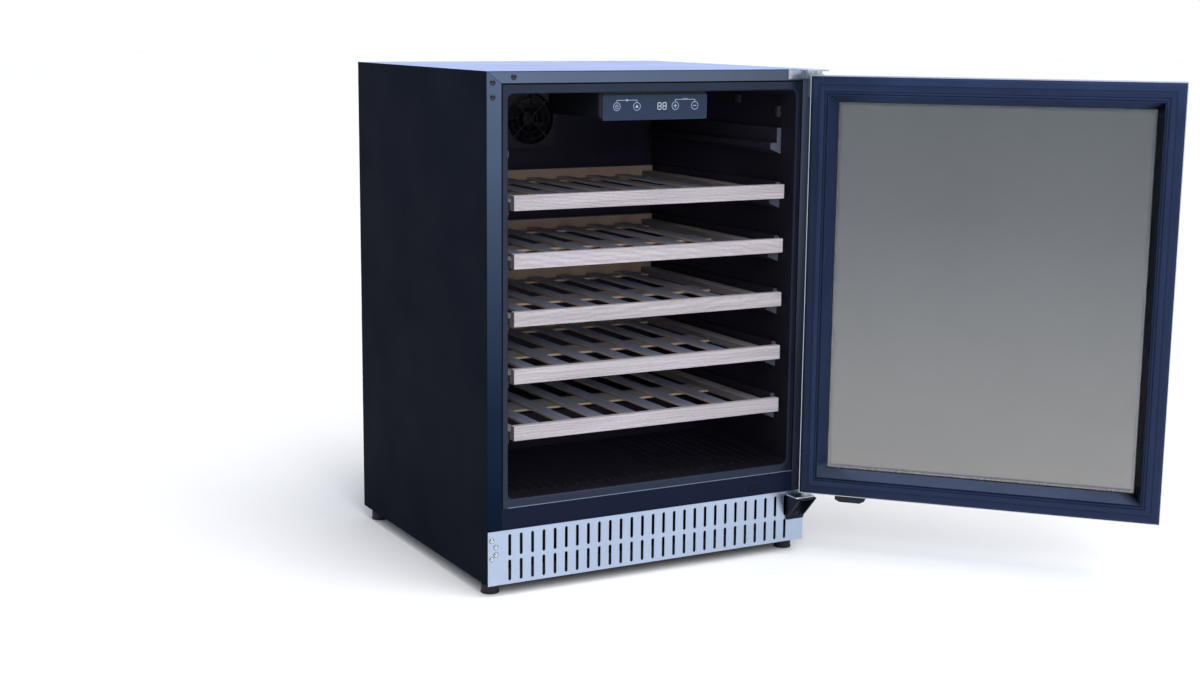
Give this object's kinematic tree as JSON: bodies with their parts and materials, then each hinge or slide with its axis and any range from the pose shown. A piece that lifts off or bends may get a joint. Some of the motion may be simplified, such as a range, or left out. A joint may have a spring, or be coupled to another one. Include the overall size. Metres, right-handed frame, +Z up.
{
  "type": "built-in wine cooler",
  "caption": "Under-counter wine cooler with a glass door hung on the right, slatted wooden shelves on side rails, a ceiling control unit and a slotted steel kickplate.",
  "frame": {"origin": "on the floor under the middle of the cabinet's footprint, door not counted", "axes": "+X to the right seen from the front, front faces -Y, +Z up"},
  "size_m": [1.009, 0.9962, 0.82],
  "materials": {
    "cabinet_black": "satin",
    "front_frame_black": "satin",
    "liner_black": "matte",
    "insulation": "matte",
    "brushed_stainless": "satin",
    "bright_steel": "polished",
    "black_bracket": "satin",
    "board_beech": "satin",
    "frame_beech": "matte",
    "slat_beech": "matte",
    "rail_grey": "matte",
    "black_plastic": "matte",
    "door_plastic": "satin",
    "gasket_black": "matte",
    "tinted_glass": "gloss",
    "panel_blue_grey": "gloss",
    "display_black": "gloss",
    "lamp_white": "satin",
    "probe_grey": "matte",
    "board_green": "satin",
    "compressor_black": "satin",
    "coil_black": "satin",
    "evaporator_alloy": "satin",
    "spacer_alloy": "satin",
    "zinc_sheet": "satin",
    "foot_black": "matte",
    "bush_white": "matte"
  },
  "bodies": {
    "cabinet": {"side_panel_left": "cabinet_black", "side_panel_right": "cabinet_black", "top_panel": "cabinet_black", "back_panel": "zinc_sheet", "base_tray": "zinc_sheet", "lower_crossbar": "front_frame_black", "door_sensor": "black_plastic", "liner": "liner_black", "foam_body": "insulation", "evaporator_plate": "evaporator_alloy", "kickplate": "brushed_stainless", "rear_grille": "cabinet_black", "cord_gland": "black_plastic", "levelling_feet": "foot_black", "shelf_rails_left": "rail_grey", "shelf_rails_right": "rail_grey", "circulation_fan_frame": "black_plastic", "condenser_fan_frame": "black_plastic", "control_fascia": "panel_blue_grey", "display_window": "display_black", "control_housing": "black_plastic", "controller_board": "board_green", "lamp_lens": "lamp_white", "temperature_probes": "probe_grey", "compressor": "compressor_black", "condenser_coil": "coil_black", "upper_hinge_bracket": "bright_steel", "upper_hinge_pin": "bright_steel", "upper_hinge_screws": "bright_steel", "lower_hinge_bracket": "black_bracket", "lower_hinge_plate": "bright_steel", "kickplate_screws": "bright_steel", "hinge_hole_plugs": "black_plastic"},
    "door": {"door_outer_frame": "brushed_stainless", "door_inner_frame": "door_plastic", "door_gasket": "gasket_black", "inner_pane": "tinted_glass", "outer_pane": "tinted_glass", "glass_spacer": "spacer_alloy", "hinge_bushes": "bush_white", "door_stop_block": "black_plastic", "handle_bar": "brushed_stainless", "handle_posts": "brushed_stainless"},
    "shelf_1": {"shelf_1_front_board": "board_beech", "shelf_1_frame": "frame_beech", "shelf_1_slats": "slat_beech"},
    "shelf_2": {"shelf_2_front_board": "board_beech", "shelf_2_frame": "frame_beech", "shelf_2_slats": "slat_beech"},
    "shelf_3": {"shelf_3_front_board": "board_beech", "shelf_3_frame": "frame_beech", "shelf_3_slats": "slat_beech"},
    "shelf_4": {"shelf_4_front_board": "board_beech", "shelf_4_frame": "frame_beech", "shelf_4_slats": "slat_beech"},
    "shelf_5": {"shelf_5_front_board": "board_beech", "shelf_5_frame": "frame_beech", "shelf_5_slats": "slat_beech"},
    "circulation_fan": {"circulation_impeller": "black_plastic"},
    "condenser_fan": {"condenser_impeller": "black_plastic"}
  },
  "joints": [
    {"name": "door_hinge", "type": "hinge", "parent": "cabinet", "child": "door", "pos_m": [0.2875, -0.2905, 0.46], "axis": [0, 0, 1], "range_deg": [-133.3, 1.7]},
    {"name": "shelf_1_slide", "type": "slide", "parent": "cabinet", "child": "shelf_1", "axis": [0, -1, 0], "range_m": [0, 0.2]},
    {"name": "shelf_2_slide", "type": "slide", "parent": "cabinet", "child": "shelf_2", "axis": [0, -1, 0], "range_m": [0, 0.2]},
    {"name": "shelf_3_slide", "type": "slide", "parent": "cabinet", "child": "shelf_3", "axis": [0, -1, 0], "range_m": [0, 0.2]},
    {"name": "shelf_4_slide", "type": "slide", "parent": "cabinet", "child": "shelf_4", "axis": [0, -1, 0], "range_m": [0, 0.2]},
    {"name": "shelf_5_slide", "type": "slide", "parent": "cabinet", "child": "shelf_5", "axis": [0, -1, 0], "range_m": [0, 0.2]},
    {"name": "circulation_fan_spin", "type": "hinge", "parent": "cabinet", "child": "circulation_fan", "pos_m": [0, 0.1985, 0.72], "axis": [0, -1, 0], "continuous": true},
    {"name": "condenser_fan_spin", "type": "hinge", "parent": "cabinet", "child": "condenser_fan", "pos_m": [0.11, 0.0965, 0.104], "axis": [0, -1, 0], "continuous": true}
  ]
}
